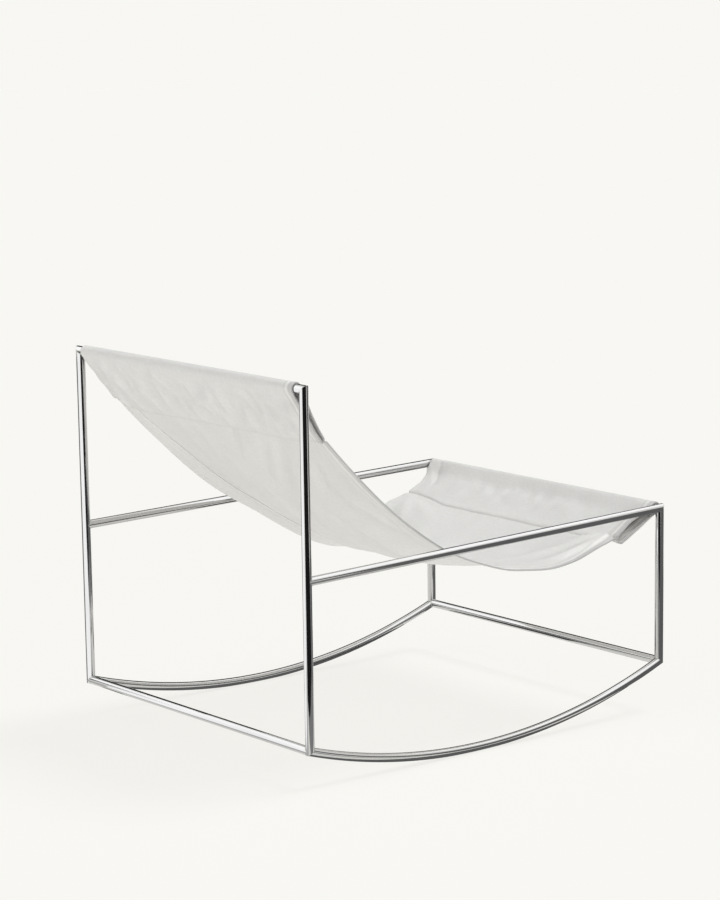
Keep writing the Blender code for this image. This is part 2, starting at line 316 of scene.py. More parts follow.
def middle(node):
    low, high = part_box(node)
    return (Vector(low) + Vector(high)) / 2


BACK_TOP, SEAT_FRONT, HEEL, TOE = (
    middle(node) for node in ("back_bar", "seat_bar", "rear_floor_bar", "front_floor_bar"))
HALF_WIDTH = middle("left_rear_upright").x
UP = (BACK_TOP - HEEL).normalized()
BACK = UP.cross(LEFT)
ARM_REAR = HEEL + UP * (SEAT_FRONT - TOE).length

half_chord = (HEEL - TOE).length / 2
ROCKER_RADIUS = (half_chord ** 2 + ROCKER_DROP ** 2) / (2 * ROCKER_DROP)
ROCKER_CENTRE = (HEEL + TOE) / 2 + UP * (ROCKER_RADIUS - ROCKER_DROP)
ROCKER_HALF_TURN = math.asin(half_chord / ROCKER_RADIUS)
print(f"half width {HALF_WIDTH:.4f}, rocker radius {ROCKER_RADIUS:.4f}")

# %% [markdown]
# ## Polished steel
#
# Stainless tube is polished along its length, which leaves the finest of lines and a few soft smears. The
# grain reads the tube's own coordinates, stored on its mesh, so it runs round the bend of a rocker too.

# %% Steel and weld finishes
STEEL_COLOUR, WELD_COLOUR = (0.60, 0.60, 0.59), (0.58, 0.58, 0.57)
# Fine marks: how many to a metre along each axis; a tube's last axis runs along it.
STEEL_LINES, STEEL_SMEARS = (900, 900, 9), (90, 90, 9)
WELD_MARKS = (1500, 1500, 1500)
STEEL_ROUGHNESS, WELD_ROUGHNESS = (0.06, 0.12), (0.14, 0.32)
STEEL_TINT = (0.58, 0.64)
LINE_WEIGHT = 0.06


def principled(name, colour, roughness, metallic=0.0):
    material = bpy.data.materials.new(name)
    material.use_nodes = True
    shader = material.node_tree.nodes["Principled BSDF"]
    shader.inputs["Base Color"].default_value = (*colour, 1)
    shader.inputs["Roughness"].default_value = roughness
    shader.inputs["Metallic"].default_value = metallic
    return material, material.node_tree, shader


def bumped(tree, shader, height, strength, distance):
    bump = add(tree, "ShaderNodeBump", [("Height", height), ("Strength", strength), ("Distance", distance)])
    tree.links.new(bump.outputs[0], shader.inputs["Normal"])


def polished_steel():
    material, tree, shader = principled("polished_steel", STEEL_COLOUR, 0.1, 1.0)
    place = add(tree, "ShaderNodeAttribute", attribute_name="tube_place").outputs["Vector"]
    lines = cloudy(tree, place, STEEL_LINES, 2.0)
    smears = cloudy(tree, place, STEEL_SMEARS, 3.0)
    mixed = sum_of(tree, product(tree, lines, LINE_WEIGHT), smears)
    tree.links.new(mapped(tree, mixed, 0.3, 0.8, *STEEL_ROUGHNESS), shader.inputs["Roughness"])
    tint = mapped(tree, smears, 0.3, 0.7, *STEEL_TINT)
    colour = add(tree, "ShaderNodeCombineColor", [("Red", tint), ("Green", tint), ("Blue", tint)]).outputs[0]
    tree.links.new(colour, shader.inputs["Base Color"])
    bumped(tree, shader, lines, 0.003, 0.0001)
    return material


def ground_weld():
    material, tree, shader = principled("ground_weld", WELD_COLOUR, 0.2, 1.0)
    place = add(tree, "ShaderNodeTexCoord").outputs["Object"]
    marks = cloudy(tree, place, WELD_MARKS, 3.0)
    tree.links.new(mapped(tree, marks, 0.3, 0.7, *WELD_ROUGHNESS), shader.inputs["Roughness"])
    bumped(tree, shader, marks, 0.15, 0.0002)
    return material


STEEL = polished_steel()
WELD = ground_weld()

# %% [markdown]
# ## Tubes
#
# A tube is a circle swept along a line, which Geometry Nodes do with Curve to Mesh. What makes it a welded
# frame is how the ends are cut. At a corner both tubes are cut on the plane that halves the corner, a mitre.
# Where a tube lands on the side of another, its end is cut to fit the round side, a saddle. Both cuts slide
# the points of the end ring along the tube, so the tree needs no boolean.

# %% Geometry Nodes tree that sweeps and cuts a tube
TUBE_SIDES = 48
END_SHARE = 0.0001
SHARP_ANGLE = math.radians(40)


def new_tree(name, inputs):
    """A geometry tree with a Geometry input and output and the named inputs."""
    tree = bpy.data.node_groups.new(name, "GeometryNodeTree")
    tree.interface.new_socket("Geometry", in_out="INPUT", socket_type="NodeSocketGeometry")
    for label, kind, value in inputs:
        socket = tree.interface.new_socket(label, in_out="INPUT", socket_type=kind)
        if value is not None:
            socket.default_value = value
    tree.interface.new_socket("Geometry", in_out="OUTPUT", socket_type="NodeSocketGeometry")
    return tree, add(tree, "NodeGroupInput").outputs


def finish_tree(tree, geometry, finish):
    """End a geometry tree: plain geometry, with its material."""
    whole = add(tree, "GeometryNodeRealizeInstances", [("Geometry", geometry)]).outputs[0]
    coated = add(tree, "GeometryNodeSetMaterial", [("Geometry", whole), ("Material", finish)]).outputs[0]
    add(tree, "NodeGroupOutput", [("Geometry", coated)])
    return tree


def vector(tree, operation, first, second=(0, 0, 0)):
    made = add(tree, "ShaderNodeVectorMath", [(0, first), (1, second)], operation=operation)
    return made.outputs["Value" if operation == "DOT_PRODUCT" else "Vector"]


def compared(tree, first, second, operation):
    return add(tree, "FunctionNodeCompare", [(0, first), (1, second)], data_type="FLOAT",
               operation=operation).outputs[0]


def chosen(tree, switch, no, yes):
    return add(tree, "GeometryNodeSwitch", [("Switch", switch), ("False", no), ("True", yes)],
               input_type="FLOAT").outputs[0]


def capture(tree, geometry, items):
    """Keep field values on a geometry; items are (name, type, socket)."""
    node = tree.nodes.new("GeometryNodeCaptureAttribute")
    for name, kind, _ in items:
        node.capture_items.new(kind, name)
    tree.links.new(geometry, node.inputs["Geometry"])
    for name, _, socket in items:
        tree.links.new(socket, node.inputs[name])
    return node.outputs


def end_cut(tree, sockets, end, radial, inward):
    """How far each point of an end ring slides into the tube: on a mitre plane, or on a round side."""
    plane = sockets[f"{end} Mitre"]
    lean = vector(tree, "DOT_PRODUCT", plane, radial)
    steep = vector(tree, "DOT_PRODUCT", plane, inward)
    mitre = product(tree, sum_of(tree, lean, steep, operation="DIVIDE"), -1.0)
    runs = [sockets[f"{end} Landing A"], sockets[f"{end} Landing B"]]
    nearer = [vector(tree, "DOT_PRODUCT", run, radial) for run in runs]
    crosswise = [vector(tree, "CROSS_PRODUCT", run, inward) for run in runs]
    offsets = [vector(tree, "DOT_PRODUCT", radial, way) for way in crosswise]
    offset = chosen(tree, compared(tree, nearer[1], nearer[0], "GREATER_THAN"), *offsets)
    square = product(tree, sockets["Radius"], sockets["Radius"])
    rest = sum_of(tree, square, product(tree, offset, offset), operation="SUBTRACT")
    not_below_zero = sum_of(tree, rest, 0.0, operation="MAXIMUM")
    saddle = add(tree, "ShaderNodeMath", [(0, not_below_zero)], operation="SQRT").outputs[0]
    return chosen(tree, sockets[f"{end} Lands"], mitre, saddle)


def tube_tree():
    inputs = [("Radius", "NodeSocketFloat", TUBE_RADIUS), ("Sides", "NodeSocketInt", TUBE_SIDES),
              ("Finish", "NodeSocketMaterial", None)]
    for end in ("Start", "End"):
        inputs.append((f"{end} Lands", "NodeSocketBool", False))
        for cut in ("Mitre", "Landing A", "Landing B"):
            inputs.append((f"{end} {cut}", "NodeSocketVector", (0, 0, 1)))
    tree, sockets = new_tree("cut tube", inputs)
    spline = add(tree, "GeometryNodeSplineParameter").outputs
    position = add(tree, "GeometryNodeInputPosition").outputs[0]
    tangent = add(tree, "GeometryNodeInputTangent").outputs[0]
    path = capture(tree, sockets["Geometry"], [
        ("centre", "VECTOR", position), ("tangent", "VECTOR", tangent),
        ("factor", "FLOAT", spline["Factor"]), ("length", "FLOAT", spline["Length"])])
    circle = add(tree, "GeometryNodeCurvePrimitiveCircle",
                 [("Resolution", sockets["Sides"]), ("Radius", sockets["Radius"])]).outputs[0]
    ring = capture(tree, circle, [("spot", "VECTOR", position)])
    swept = add(tree, "GeometryNodeCurveToMesh", [
        ("Curve", path["Geometry"]), ("Profile Curve", ring["Geometry"]), ("Fill Caps", True)]).outputs[0]
    radial = vector(tree, "SUBTRACT", position, path["centre"])
    for end, sign, limit, operation in (("Start", 1.0, END_SHARE, "LESS_THAN"),
                                        ("End", -1.0, 1 - END_SHARE, "GREATER_THAN")):
        inward = vector(tree, "MULTIPLY", path["tangent"], (sign, sign, sign))
        at_end = compared(tree, path["factor"], limit, operation)
        cut = end_cut(tree, sockets, end, radial, inward)
        slide = add(tree, "ShaderNodeVectorMath", [(0, inward), ("Scale", cut)], operation="SCALE")
        swept = add(tree, "GeometryNodeSetPosition", [
            ("Geometry", swept), ("Selection", at_end), ("Offset", slide.outputs[0])]).outputs[0]
    spot = add(tree, "ShaderNodeSeparateXYZ", [(0, ring["spot"])]).outputs
    place = add(tree, "ShaderNodeCombineXYZ", [(0, spot[0]), (1, spot[1]), (2, path["length"])]).outputs[0]
    stored = add(tree, "GeometryNodeStoreNamedAttribute", [
        ("Geometry", swept), ("Name", "tube_place"), ("Value", place)], data_type="FLOAT_VECTOR").outputs[0]
    return finish_tree(tree, stored, sockets["Finish"])


def line_object(name, rows, radii=None, closed=False):
    """A curve object with one spline through each row of points."""
    curve = bpy.data.curves.new(name, "CURVE")
    curve.dimensions = "3D"
    for points in rows:
        spline = curve.splines.new("POLY")
        spline.points.add(len(points) - 1)
        spline.use_cyclic_u = closed
        for number, point in enumerate(points):
            spline.points[number].co = (*point, 1)
            spline.points[number].radius = radii[number] if radii else 1.0
    piece = bpy.data.objects.new(name, curve)
    scene.collection.objects.link(piece)
    return piece


def grown(name, source, tree, values):
    """Run a geometry tree on a curve object and keep the result as a plain mesh object."""
    modifier = source.modifiers.new("shape", "NODES")
    modifier.node_group = tree
    labels = {item.name: item.identifier for item in tree.interface.items_tree if item.in_out == "INPUT"}
    for label, value in values.items():
        modifier[labels[label]] = value
    bpy.context.view_layer.update()
    evaluated = source.evaluated_get(bpy.context.evaluated_depsgraph_get())
    mesh = bpy.data.meshes.new_from_object(evaluated)
    mesh.name = name
    data = source.data
    bpy.data.objects.remove(source)
    bpy.data.curves.remove(data)
    mesh.shade_smooth()
    mesh.set_sharp_from_angle(angle=SHARP_ANGLE)
    piece = bpy.data.objects.new(name, mesh)
    scene.collection.objects.link(piece)
    return piece


TUBE_TREE = tube_tree()
print("tube tree with", len(TUBE_TREE.nodes), "nodes")

# %% [markdown]
# Each end of a tube is described by the tube that it meets. A mitre needs that tube's direction away from
# the corner. A landing needs the one or two tubes whose round side is there: a crossbar that meets a mitred
# corner lands on both.

# %% Make the twelve tubes
ROCKER_STEP = math.radians(0.5)


def rocker_point(turn):
    """A point of the rocker's axis; a positive turn goes towards the front."""
    return ROCKER_CENTRE + (-BACK * math.sin(turn) - UP * math.cos(turn)) * ROCKER_RADIUS


def rocker_run(end):
    """Along the rocker from its heel (-1) or its toe (+1) towards its middle."""
    return (BACK * math.cos(ROCKER_HALF_TURN) * end - UP * math.sin(ROCKER_HALF_TURN)).normalized()


def mitred(inward, other):
    return {"Lands": False, "Mitre": tuple((inward - other).normalized())}


def landed(*runs):
    return {"Lands": True, "Landing A": tuple(runs[0]), "Landing B": tuple(runs[-1])}


def make_tube(node, points, start, end):
    values = {"Radius": TUBE_RADIUS, "Sides": TUBE_SIDES, "Finish": STEEL}
    for label, cut in (("Start", start), ("End", end)):
        values.update({f"{label} {key}": value for key, value in cut.items()})
    piece = grown(f"{node}_tube", line_object(node + "_line", [points]), TUBE_TREE, values)
    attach(piece, "root")
    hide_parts(node)


rocker_steps = round(2 * ROCKER_HALF_TURN / ROCKER_STEP)
ROCKER_TURNS = np.linspace(-ROCKER_HALF_TURN, ROCKER_HALF_TURN, rocker_steps + 1)
SIDES = (("left", LEFT), ("right", -LEFT))

for label, outward in SIDES:
    aside = outward * HALF_WIDTH
    heel, toe, back_top, arm_rear, seat_front = (
        point + aside for point in (HEEL, TOE, BACK_TOP, ARM_REAR, SEAT_FRONT))
    make_tube(f"{label}_rear_upright", [heel, back_top], mitred(UP, rocker_run(-1)), mitred(-UP, -outward))
    make_tube(f"{label}_front_upright", [toe, seat_front], mitred(UP, rocker_run(1)), mitred(-UP, BACK))
    make_tube(f"{label}_arm_rail", [arm_rear, seat_front], landed(UP), mitred(BACK, -UP))
    make_tube(f"{label}_rocker", [rocker_point(turn) + aside for turn in ROCKER_TURNS],
              mitred(rocker_run(-1), UP), mitred(rocker_run(1), UP))

CORNER_RUNS = {"seat_bar": (SEAT_FRONT, [-UP, BACK]), "rear_floor_bar": (HEEL, [UP, rocker_run(-1)]),
               "front_floor_bar": (TOE, [UP, rocker_run(1)])}
reach = LEFT * HALF_WIDTH
make_tube("back_bar", [BACK_TOP + reach, BACK_TOP - reach], mitred(-LEFT, -UP), mitred(LEFT, -UP))
for node, (centre, runs) in CORNER_RUNS.items():
    make_tube(node, [centre + reach, centre - reach], landed(*runs), landed(*runs))
print("12 tubes made")

# %% [markdown]
# ## Welds
#
# The mitred corners are welded and ground flush, so only a hair of metal stands proud along the joint.
# Where a bar lands on a side, a small bead stays in the crook, fullest where the two tubes meet at a right
# angle. Each bead is a thin tube along the line of the joint.

# %% Geometry Nodes tree for a bead, and the sixteen welds
FLUSH_BEAD = 0.0005
FLUSH_SINK = 0.0004
CORNER_BEAD = 0.0013
THIN_SHARE = 0.3
BEAD_SIDES = 10
BEAD_POINTS = 96
BEAD_RIPPLES = 24
RIPPLE_DEPTH = 0.06


def bead_tree():
    inputs = [("Sides", "NodeSocketInt", BEAD_SIDES), ("Finish", "NodeSocketMaterial", None)]
    tree, sockets = new_tree("weld bead", inputs)
    circle = add(tree, "GeometryNodeCurvePrimitiveCircle",
                 [("Resolution", sockets["Sides"]), ("Radius", 1.0)]).outputs[0]
    thickness = add(tree, "GeometryNodeInputRadius").outputs[0]
    swept = add(tree, "GeometryNodeCurveToMesh", [("Curve", sockets["Geometry"]), ("Scale", thickness),
                                                  ("Profile Curve", circle)]).outputs[0]
    return finish_tree(tree, swept, sockets["Finish"])


BEAD_TREE = bead_tree()


def around(inward, first):
    """Directions round a tube's end, as many as a bead has points."""
    square = inward.cross(first)
    turns = [2 * math.pi * step / BEAD_POINTS for step in range(BEAD_POINTS)]
    return [first * math.cos(turn) + square * math.sin(turn) for turn in turns]


def make_bead(node, points, radii):
    piece = grown(f"{node}_bead", line_object(node + "_line", [points], radii, closed=True), BEAD_TREE,
                  {"Sides": BEAD_SIDES, "Finish": WELD})
    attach(piece, "root")
    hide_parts(node)


def flush_weld(node, corner, inward, other):
    """A hair of metal round the mitre between two tubes."""
    plane = (inward - other).normalized()
    points = []
    for way in around(inward, LEFT):
        radial = way * (TUBE_RADIUS - FLUSH_SINK)
        points.append(corner + radial - inward * (plane.dot(radial) / plane.dot(inward)))
    make_bead(node, points, [FLUSH_BEAD] * BEAD_POINTS)


def corner_weld(node, corner, inward, runs):
    """A bead in the crook where a tube lands on the round side of one tube, or of two in a corner."""
    points, radii = [], []
    for step, way in enumerate(around(inward, runs[0])):
        run = max(runs, key=way.dot)
        offset = way.dot(run.cross(inward))
        fullness = 1 - offset ** 2
        points.append(corner + (way + inward * math.sqrt(fullness)) * TUBE_RADIUS)
        ripple = 1 + RIPPLE_DEPTH * math.sin(2 * math.pi * BEAD_RIPPLES * step / BEAD_POINTS)
        radii.append(CORNER_BEAD * (THIN_SHARE + (1 - THIN_SHARE) * fullness) * ripple)
    make_bead(node, points, radii)


for label, outward in SIDES:
    aside = outward * HALF_WIDTH
    flush_weld(f"{label}_heel_weld", HEEL + aside, UP, rocker_run(-1))
    flush_weld(f"{label}_toe_weld", TOE + aside, UP, rocker_run(1))
    flush_weld(f"{label}_front_corner_weld", SEAT_FRONT + aside, -UP, BACK)
    flush_weld(f"{label}_back_corner_weld", BACK_TOP + aside, -UP, -outward)
    corner_weld(f"{label}_arm_weld", ARM_REAR + aside, -BACK, [UP])
    for node, (centre, runs) in CORNER_RUNS.items():
        corner_weld(f"{label}_{node}_weld", centre + aside, -outward, runs)
print("16 welds made")

# %% [markdown]
# ## The sling's line
#
# The sling is one piece of canvas. Seen from the side it starts at the sewn end of the back flap, runs up
# to the back bar, over it and down again, hangs to the front, and ends round the seat bar in the same way.
# A cloth simulation could look for this line, but the hang is plain to see in the picture, so it is drawn:
# straight sleeves, an arc round each bar, and one curve between the two sleeves. The line is then cut into
# rows for the mesh, which stand closer where the cloth bends most: round the bars, at the seams and at the
# crease behind the seat bar.

# %% The line from the side
CLOTH = 0.0009
HEM_LAYER = 0.0018
FLAP_GAP = 0.0022
WRAP_GAP = 0.0024
WRAP_RADIUS = TUBE_RADIUS + WRAP_GAP
SLEEVE_LENGTH = 0.106
BACK_FLAP = 0.127
SEAT_FLAP = 0.115
BACK_SLEEVE_ANGLE = math.radians(34)
BACK_SEAM_ANGLE = math.radians(42.5)
BACK_PULL = 0.551
SEAT_SLEEVE_ANGLE = math.radians(28)
SEAT_SEAM_ANGLE = math.radians(5.7)
SEAT_PULL = 0.147
SEAM_ROUND = 0.014
CREASE = 0.028
WRAP_STEPS = 24
PANEL_STEPS = 200
FINE_STEP = 0.0005
PANEL_ROW, SLEEVE_ROW, WRAP_ROW, SEAM_ROW = 0.0078, 0.0048, 0.0030, 0.0014
SEAM_REACH = 0.016


def smooth_step(low, high, values):
    share = np.clip((values - low) / (high - low), 0, 1)
    return share * share * (3 - 2 * share)


def sleeve_line(bar, down, under, flap_length):
    """A sleeve from the sewn end of its flap round the bar, to where the cloth leaves the bar again."""
    first_turn = (math.atan2(FLAP_GAP, flap_length)
                  + math.acos(WRAP_RADIUS / math.hypot(flap_length, FLAP_GAP)))
    last_turn = 2 * math.pi - math.acos(WRAP_RADIUS / SLEEVE_LENGTH)
    wrap = [bar + (down * math.cos(turn) + under * math.sin(turn)) * WRAP_RADIUS
            for turn in np.linspace(first_turn, last_turn, WRAP_STEPS + 1)]
    return [bar + down * flap_length + under * FLAP_GAP] + wrap


def on_line(points, lengths, wanted):
    """Places at given lengths along a line of points."""
    return np.stack([np.interp(wanted, lengths, points[:, axis]) for axis in range(3)], axis=-1)


down_back = -BACK * math.sin(BACK_SLEEVE_ANGLE) - UP * math.cos(BACK_SLEEVE_ANGLE)
down_seat = BACK * math.cos(SEAT_SLEEVE_ANGLE) - UP * math.sin(SEAT_SLEEVE_ANGLE)
back_seam = BACK_TOP + down_back * SLEEVE_LENGTH
seat_seam = SEAT_FRONT + down_seat * SLEEVE_LENGTH
back_pull = -BACK * math.sin(BACK_SEAM_ANGLE) - UP * math.cos(BACK_SEAM_ANGLE)
seat_pull = BACK * math.cos(SEAT_SEAM_ANGLE) - UP * math.sin(SEAT_SEAM_ANGLE)
panel = interpolate_bezier(back_seam, back_seam + back_pull * BACK_PULL,
                           seat_seam + seat_pull * SEAT_PULL, seat_seam, PANEL_STEPS + 1)
back_sleeve = sleeve_line(BACK_TOP, down_back, LEFT.cross(down_back), BACK_FLAP)
seat_sleeve = sleeve_line(SEAT_FRONT, down_seat, down_seat.cross(LEFT), SEAT_FLAP)[::-1]
corners = np.array([tuple(point) for point in back_sleeve + panel + seat_sleeve])
lengths = np.concatenate([[0.0], np.cumsum(np.linalg.norm(np.diff(corners, axis=0), axis=1))])
CUT_LENGTH = float(lengths[-1])

# Lengths at which the cloth meets and leaves the back bar, the two seams, and the seat bar.
first_panel = len(back_sleeve)
last_panel = first_panel + PANEL_STEPS
MARKS = lengths[[1, first_panel - 1, first_panel, last_panel, last_panel + 1, len(corners) - 2]]
BACK_IN, BACK_OUT, BACK_SEAM, SEAT_SEAM, SEAT_IN, SEAT_OUT = MARKS
PANEL_LENGTH = SEAT_SEAM - BACK_SEAM

fine = np.linspace(0, CUT_LENGTH, round(CUT_LENGTH / FINE_STEP) + 1)
fine_line = on_line(corners, lengths, fine)
kernel_reach = round(3 * SEAM_ROUND / FINE_STEP)
kernel = np.exp(-(np.arange(-kernel_reach, kernel_reach + 1) * FINE_STEP / SEAM_ROUND) ** 2 / 2)
kernel /= kernel.sum()
rounded = np.stack([np.convolve(places, kernel, mode="same") for places in fine_line.T], axis=1)
from_seams = np.minimum(np.abs(fine - BACK_SEAM), np.abs(fine - SEAT_SEAM))
as_drawn = smooth_step(2 * SEAM_ROUND, 3 * SEAM_ROUND, from_seams)[:, None]
fine_line = rounded * (1 - as_drawn) + fine_line * as_drawn

ZONES = np.array(["back_flap", "back_wrap", "back_top", "panel", "seat_top", "seat_wrap", "seat_flap"])
ROW_STEPS = np.array([SLEEVE_ROW, WRAP_ROW, SLEEVE_ROW, PANEL_ROW, SLEEVE_ROW, WRAP_ROW, SLEEVE_ROW])
density = 1 / ROW_STEPS[np.searchsorted(MARKS, fine, side="right")]
for spot, width in ((BACK_SEAM + BACK_FLAP - SLEEVE_LENGTH, SEAM_REACH), (SEAT_SEAM, SEAM_REACH),
                    (SEAT_IN - CREASE, SEAM_REACH / 2)):
    density = np.maximum(density, np.exp(-((fine - spot) / width) ** 4) / SEAM_ROW)
row_number = np.cumsum(density) * FINE_STEP
run = np.interp(np.linspace(row_number[0], row_number[-1], round(row_number[-1])), row_number, fine)
line = on_line(fine_line, fine, run)
zone = ZONES[np.searchsorted(MARKS, run, side="right")]
print(f"{len(line)} rows, {CUT_LENGTH:.3f} m of cloth, {PANEL_LENGTH:.3f} m between the sleeves")

# %% [markdown]
# ## Width and seams
#
# Across, the cloth is widest on the bars, where it is stretched along them, and draws in a little between
# them. On the back bar it has slid to the left, against the upright, and leaves a short stub of bar bare on
# the right. The columns of the mesh stand closer in the hems, so that the hems can be pinched by their
# stitches. The seams were sewn by hand and eye: each wanders a little from the straight line.

# %% Columns across, and the lines of the seams
CUT_HALF = 0.300
HEM_WIDTH = 0.035
HEM_STEPS = 15
MIDDLE_STEPS = 92
PANEL_HALF = 0.2915
# Half widths on each side: end of the back flap, back bar, seat bar, end of the seat flap.
LEFT_ENDS = (0.2985, 0.3010, 0.3070, 0.2840)
RIGHT_ENDS = (0.2975, 0.2975, 0.3065, 0.3065)
NECK = (0.012, 0.062)
# Bends of each seam: where across the cloth a bend starts and ends, and how far it moves the seam.
BACK_BENDS = [(0.040, 0.160, 0.004), (-0.240, -0.290, -0.010)]
SEAT_BENDS = [(-0.240, -0.290, -0.014), (0.150, 0.290, -0.020)]
PULLED_UP = (0.245, CUT_HALF)
# Wander of each seam: height and length of its waves, and seed.
BACK_WANDER = (0.0010, 0.050, 2.2)
SEAT_WANDER = (0.0024, 0.045, 4.4)

hem_places = np.linspace(0, HEM_WIDTH, HEM_STEPS + 1)
middle_places = np.linspace(HEM_WIDTH - CUT_HALF, CUT_HALF - HEM_WIDTH, MIDDLE_STEPS + 1)[1:-1]
x_flat = np.concatenate([hem_places - CUT_HALF, middle_places, (CUT_HALF - hem_places)[::-1]])
across = x_flat / CUT_HALF

from_back_bar = np.maximum(BACK_IN - run, run - BACK_OUT).clip(0)
from_seat_bar = np.maximum(SEAT_IN - run, run - SEAT_OUT).clip(0)


def half_width(back_flap, back_bar, seat_bar, seat_flap):
    """Half the width of each row on one side, from the widths of its flaps and on the two bars."""
    between = np.where(run < BACK_IN, back_flap, np.where(run > SEAT_OUT, seat_flap, PANEL_HALF))
    at_back = 1 - smooth_step(*NECK, from_back_bar)
    at_seat = 1 - smooth_step(*NECK, from_seat_bar)
    return between + (back_bar - between) * at_back + (seat_bar - between) * at_seat


x = np.where(across > 0, half_width(*LEFT_ENDS)[:, None], half_width(*RIGHT_ENDS)[:, None]) * across


def bent(places, bends):
    return sum(size * smooth_step(start, end, places) for start, end, size in bends)


def wandering(places, height, length, seed):
    return height * np.array([noise.noise((place / length, seed, 0.5)) for place in places])


def back_seam_at(places):
    """How far down the panel the back seam lies, at flat places across; its left corner is pulled up."""
    sewn = BACK_FLAP - SLEEVE_LENGTH + bent(places, BACK_BENDS)
    return sewn * (1 - smooth_step(*PULLED_UP, places)) + wandering(places, *BACK_WANDER)


def seat_seam_at(places):
    """How far back along the panel the seat seam lies; its ends run towards the bar."""
    return SEAT_FLAP - SLEEVE_LENGTH + bent(places, SEAT_BENDS) + wandering(places, *SEAT_WANDER)


print(f"{len(x_flat)} columns, widest {x.max() - x.min():.3f} m")

# %% [markdown]
# ## Folds
#
# Canvas is stiff and hardly stretches, so its folds are few and each has a cause. The belly sags between the
# hems, and hangs lowest on the left, where the cloth is a little longer. The heavy left hem curls down, so
# the cloth rises just inside it. Long soft waves hang from the back bar and grow calmer in the belly, and
# sharp folds fan out from the corners, where the weight is held. The loose back of each sleeve puckers,
# because it is sewn to cloth that is pulled tight. Every fold is a height above the plain surface: a named
# one is a ridge along a short line, and the rest is smooth noise, stretched the way the cloth is pulled.

# %% Heights of the folds
BELLY_SAG = 0.0245
BELLY_SKEW = 1.45
WAVE_DEPTH = 0.0040
WAVE_COUNT = 3
# Each hem's curl and drop: height, and where along the panel it comes and goes, as shares of its length.
LEFT_ROLL = (0.019, (0.00, 0.26), (0.62, 0.90))
RIGHT_ROLL = (0.007, (0.10, 0.45), (0.70, 0.92))
LEFT_DROP = (0.064, (0.47, 0.88), (0.76, 0.96))
RIGHT_DROP = (0.006, (0.70, 0.82), (0.86, 0.97))
# Shares of the half width: where each drop starts, and where the curl starts, is highest and would end.
LEFT_DROP_START, RIGHT_DROP_START = 0.35, 0.30
ROLL_START, ROLL_CREST, ROLL_END = 0.15, 0.86, 1.045
# Noise: height, width and length of its waves in metres, and seed.
PANEL_WAVES = [(0.0062, 0.055, 0.34, 3.1), (0.0028, 0.030, 0.12, 8.7)]
PANEL_CREASES = (0.0070, 0.085, 0.28, 2.6)
SLEEVE_WAVES = (0.0010, 0.016, 0.05, 5.3)
SLEEVE_FADE = 0.020
CREST_LEVEL = 0.25
# How much calmer the belly is, and where along the panel that comes.
CALM, CALM_PART = 0.6, (0.45, 0.70)

# Ridges: start and end (along from the back sleeve, across to the left), width and height, all in metres.
RIDGE_RISE, RIDGE_FALL = (-0.15, 0.25), (0.45, 1.10)
RIDGES = [
    ((0.022, -0.030), (0.120, 0.038), 0.009, 0.0064),
    ((0.040, -0.150), (0.220, -0.010), 0.014, 0.0066),
    ((0.050, -0.095), (0.190, 0.020), 0.011, 0.0046),
    ((0.090, -0.200), (0.210, -0.140), 0.012, 0.0056),
    ((0.160, -0.195), (0.340, -0.270), 0.024, -0.0065),
    ((0.030, 0.120), (0.190, 0.150), 0.016, 0.0050),
    ((0.806, -0.285), (0.640, -0.150), 0.011, 0.0070),
    ((0.806, -0.285), (0.690, -0.130), 0.009, 0.0056),
    ((0.806, -0.288), (0.650, -0.235), 0.010, 0.0066),
    ((0.806, -0.275), (0.735, -0.200), 0.007, 0.0040),
    ((0.806, 0.285), (0.680, 0.190), 0.012, 0.0024),
    ((0.806, 0.280), (0.720, 0.110), 0.010, 0.0018),
]


def noise_field(rows, columns, height, wide, long, seed):
    """Smooth noise of a height over rows and columns in metres, stretched to a width and a length."""
    return height * np.array([[noise.noise((c / wide, r / long, seed)) for c in columns] for r in rows])


def crease_field(rows, columns, height, *shape):
    """Noise with sharp crests, as canvas has where it was folded before."""
    return height * CREST_LEVEL - np.abs(noise_field(rows, columns, height, *shape))


def bump(values, height, up, down):
    """A height between two smooth steps, each given by where it starts and ends, and 0 outside them."""
    return height * smooth_step(*up, values) * (1 - smooth_step(*down, values))


def crest(distance, width):
    """1 on a line and less beside it."""
    return np.exp(-(distance / width) ** 2)


def ridge(rows, columns, start, end, width, height):
    """A fold along a line: highest near its start, dying away towards its end."""
    (y0, x0), (y1, x1) = start, end
    dy, dx = y1 - y0, x1 - x0
    reach = math.hypot(dy, dx)
    along = ((rows[:, None] - y0) * dy + (columns - x0) * dx) / reach ** 2
    aside = ((rows[:, None] - y0) * dx - (columns - x0) * dy) / reach
    return bump(along, height, RIDGE_RISE, RIDGE_FALL) * crest(aside, width)


def inside_hem(places):
    """Where the cloth rises when a hem curls down: most just inside the hem."""
    return smooth_step(ROLL_END, ROLL_CREST, places) * smooth_step(ROLL_START, ROLL_CREST, places)


lift = np.zeros((len(line), len(across)))
puff = np.zeros_like(lift)

on_panel = zone == "panel"
panel_run = run[on_panel] - BACK_SEAM
share = panel_run / PANEL_LENGTH
hang = np.sin(np.pi * share ** BELLY_SKEW)[:, None]
lift[on_panel] = (WAVE_DEPTH * hang * (1 - share)[:, None] * np.cos(np.pi * WAVE_COUNT * across)
                  - BELLY_SAG * hang * (1 - across ** 2))
for places, roll, drop, drop_start in ((across, LEFT_ROLL, LEFT_DROP, LEFT_DROP_START),
                                       (-across, RIGHT_ROLL, RIGHT_DROP, RIGHT_DROP_START)):
    lift[on_panel] += bump(share, *roll)[:, None] * inside_hem(places)
    lift[on_panel] -= bump(share, *drop)[:, None] * smooth_step(drop_start, 1.0, places)

